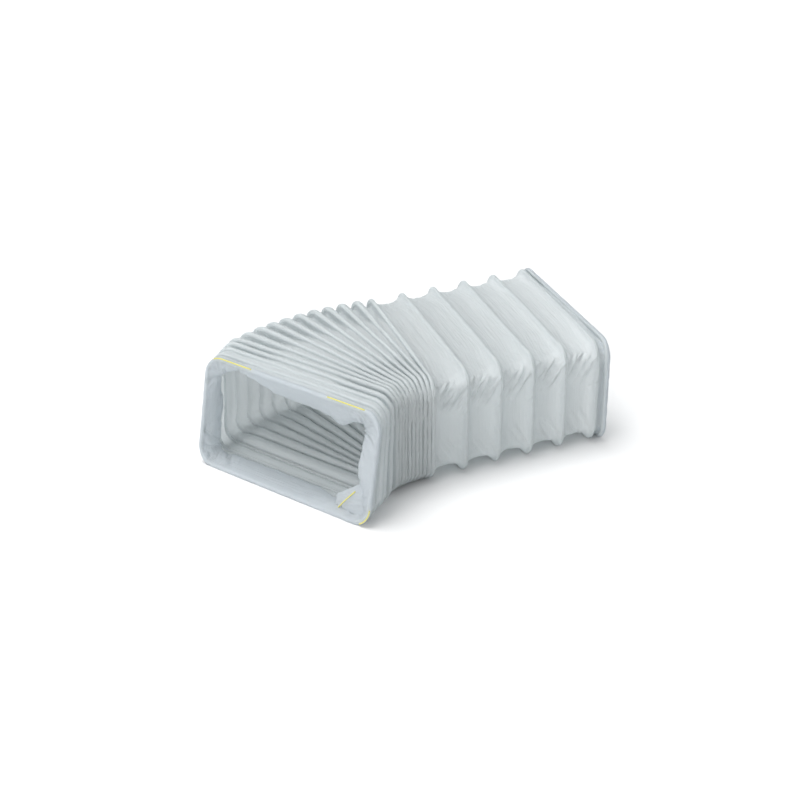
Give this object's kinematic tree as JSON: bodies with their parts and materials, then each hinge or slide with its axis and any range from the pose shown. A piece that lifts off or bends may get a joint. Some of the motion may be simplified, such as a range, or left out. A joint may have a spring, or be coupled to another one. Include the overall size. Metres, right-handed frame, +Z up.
{
  "type": "flexible air duct",
  "caption": "Short flexible duct of flat rectangular section: soft white film over a coated spring-wire helix, part bunched in an elbow and part stretched, open at both ends.",
  "frame": {"origin": "under the middle of the whole duct, on the surface that it lies on", "axes": "+X along the stretched part towards the rear end, which is the longest extent; +Z up, across the flat side"},
  "size_m": [0.2242, 0.1442, 0.0612],
  "materials": {
    "coated_wire": "semi-gloss",
    "duct_film": "semi-gloss, slightly translucent",
    "folded_film": "semi-gloss, slightly translucent",
    "tracer_line": "satin"
  },
  "bodies": {
    "turn_01": {"wire_turn_01": "coated_wire", "film_bay_01": "duct_film", "front_collar": "folded_film", "tracer_line_top_left": "tracer_line", "tracer_line_top_right": "tracer_line", "tracer_line_corner": "tracer_line", "tracer_line_tucked": "tracer_line"},
    "turn_02": {"wire_turn_02": "coated_wire", "film_bay_02": "duct_film"},
    "turn_03": {"wire_turn_03": "coated_wire", "film_bay_03": "duct_film"},
    "turn_04": {"wire_turn_04": "coated_wire", "film_bay_04": "duct_film"},
    "turn_05": {"wire_turn_05": "coated_wire", "film_bay_05": "duct_film"},
    "turn_06": {"wire_turn_06": "coated_wire", "film_bay_06": "duct_film"},
    "turn_07": {"wire_turn_07": "coated_wire", "film_bay_07": "duct_film"},
    "turn_08": {"wire_turn_08": "coated_wire", "film_bay_08": "duct_film"},
    "turn_09": {"wire_turn_09": "coated_wire", "film_bay_09": "duct_film"},
    "turn_10": {"wire_turn_10": "coated_wire", "film_bay_10": "duct_film"},
    "turn_11": {"wire_turn_11": "coated_wire", "film_bay_11": "duct_film"},
    "turn_12": {"wire_turn_12": "coated_wire", "film_bay_12": "duct_film"},
    "turn_13": {"wire_turn_13": "coated_wire", "film_bay_13": "duct_film"},
    "turn_14": {"wire_turn_14": "coated_wire", "film_bay_14": "duct_film"},
    "turn_15": {"wire_turn_15": "coated_wire"},
    "turn_16": {"wire_turn_16": "coated_wire", "film_bay_15": "duct_film"},
    "turn_17": {"wire_turn_17": "coated_wire", "film_bay_16": "duct_film"},
    "turn_18": {"wire_turn_18": "coated_wire", "film_bay_17": "duct_film"},
    "turn_19": {"wire_turn_19": "coated_wire", "film_bay_18": "duct_film"},
    "rear_end": {"wire_turn_20": "coated_wire", "wire_turn_21": "coated_wire", "film_bay_20": "duct_film", "rear_collar": "folded_film", "film_bay_19": "duct_film"}
  },
  "joints": [
    {"name": "elbow_bend", "type": "hinge", "parent": "turn_15", "child": "turn_14", "pos_m": [-0.00958, -0.04431, 0], "axis": [0, 0, 1], "range_deg": [-3.49, 5.5], "deforming": ["film_bay_14"]},
    {"name": "elbow_bend_02", "type": "hinge", "parent": "turn_14", "child": "turn_13", "pos_m": [-0.01199, -0.04413, 0], "axis": [0, 0, 1], "range_deg": [-3.49, 5.5], "deforming": ["film_bay_13"]},
    {"name": "elbow_bend_03", "type": "hinge", "parent": "turn_13", "child": "turn_12", "pos_m": [-0.01441, -0.04409, 0], "axis": [0, 0, 1], "range_deg": [-3.49, 5.5], "deforming": ["film_bay_12"]},
    {"name": "elbow_bend_04", "type": "hinge", "parent": "turn_12", "child": "turn_11", "pos_m": [-0.01683, -0.0442, 0], "axis": [0, 0, 1], "range_deg": [-3.49, 5.5], "deforming": ["film_bay_11"]},
    {"name": "elbow_bend_05", "type": "hinge", "parent": "turn_11", "child": "turn_10", "pos_m": [-0.01923, -0.04445, 0], "axis": [0, 0, 1], "range_deg": [-3.49, 5.5], "deforming": ["film_bay_10"]},
    {"name": "elbow_bend_06", "type": "hinge", "parent": "turn_10", "child": "turn_09", "pos_m": [-0.02162, -0.04485, 0], "axis": [0, 0, 1], "range_deg": [-3.49, 5.5], "deforming": ["film_bay_09"]},
    {"name": "elbow_bend_07", "type": "hinge", "parent": "turn_09", "child": "turn_08", "pos_m": [-0.02398, -0.0454, 0], "axis": [0, 0, 1], "range_deg": [-3.49, 5.5], "deforming": ["film_bay_08"]},
    {"name": "elbow_bend_08", "type": "hinge", "parent": "turn_08", "child": "turn_07", "pos_m": [-0.02629, -0.04609, 0], "axis": [0, 0, 1], "range_deg": [-3.49, 5.5], "deforming": ["film_bay_07"]},
    {"name": "elbow_bend_09", "type": "hinge", "parent": "turn_07", "child": "turn_06", "pos_m": [-0.02857, -0.04691, 0], "axis": [0, 0, 1], "range_deg": [-3.49, 5.5], "deforming": ["film_bay_06"]},
    {"name": "elbow_bend_10", "type": "hinge", "parent": "turn_06", "child": "turn_05", "pos_m": [-0.03079, -0.04788, 0], "axis": [0, 0, 1], "range_deg": [-3.49, 5.5], "deforming": ["film_bay_05"]},
    {"name": "front_stretch", "type": "slide", "parent": "turn_05", "child": "turn_04", "axis": [-0.7771, -0.6293, 0], "range_m": [-0.0034, 0.0115], "deforming": ["film_bay_04"]},
    {"name": "front_stretch_02", "type": "slide", "parent": "turn_04", "child": "turn_03", "axis": [-0.7771, -0.6293, 0], "range_m": [-0.0034, 0.0115], "deforming": ["film_bay_03"]},
    {"name": "front_stretch_03", "type": "slide", "parent": "turn_03", "child": "turn_02", "axis": [-0.7771, -0.6293, 0], "range_m": [-0.0034, 0.0115], "deforming": ["film_bay_02"]},
    {"name": "front_stretch_04", "type": "slide", "parent": "turn_02", "child": "turn_01", "axis": [-0.7771, -0.6293, 0], "range_m": [-0.0034, 0.0115], "deforming": ["film_bay_01"]},
    {"name": "rear_stretch", "type": "slide", "parent": "turn_15", "child": "turn_16", "axis": [1, 0, 0], "range_m": [-0.0172, 0.002], "deforming": ["film_bay_15"]},
    {"name": "rear_stretch_02", "type": "slide", "parent": "turn_16", "child": "turn_17", "axis": [1, 0, 0], "range_m": [-0.0172, 0.002], "deforming": ["film_bay_16"]},
    {"name": "rear_stretch_03", "type": "slide", "parent": "turn_17", "child": "turn_18", "axis": [1, 0, 0], "range_m": [-0.0172, 0.002], "deforming": ["film_bay_17"]},
    {"name": "rear_stretch_04", "type": "slide", "parent": "turn_18", "child": "turn_19", "axis": [1, 0, 0], "range_m": [-0.0172, 0.002], "deforming": ["film_bay_18"]},
    {"name": "rear_stretch_05", "type": "slide", "parent": "turn_19", "child": "rear_end", "axis": [1, 0, 0], "range_m": [-0.0172, 0.002], "deforming": ["film_bay_19"]}
  ],
  "couplings": [
    {"joint": "elbow_bend_02", "follows": "elbow_bend", "ratio": 1},
    {"joint": "elbow_bend_03", "follows": "elbow_bend", "ratio": 1},
    {"joint": "elbow_bend_04", "follows": "elbow_bend", "ratio": 1},
    {"joint": "elbow_bend_05", "follows": "elbow_bend", "ratio": 1},
    {"joint": "elbow_bend_06", "follows": "elbow_bend", "ratio": 1},
    {"joint": "elbow_bend_07", "follows": "elbow_bend", "ratio": 1},
    {"joint": "elbow_bend_08", "follows": "elbow_bend", "ratio": 1},
    {"joint": "elbow_bend_09", "follows": "elbow_bend", "ratio": 1},
    {"joint": "elbow_bend_10", "follows": "elbow_bend", "ratio": 1},
    {"joint": "front_stretch_02", "follows": "front_stretch", "ratio": 1},
    {"joint": "front_stretch_03", "follows": "front_stretch", "ratio": 1},
    {"joint": "front_stretch_04", "follows": "front_stretch", "ratio": 1},
    {"joint": "rear_stretch_02", "follows": "rear_stretch", "ratio": 1},
    {"joint": "rear_stretch_03", "follows": "rear_stretch", "ratio": 1},
    {"joint": "rear_stretch_04", "follows": "rear_stretch", "ratio": 1},
    {"joint": "rear_stretch_05", "follows": "rear_stretch", "ratio": 1}
  ]
}
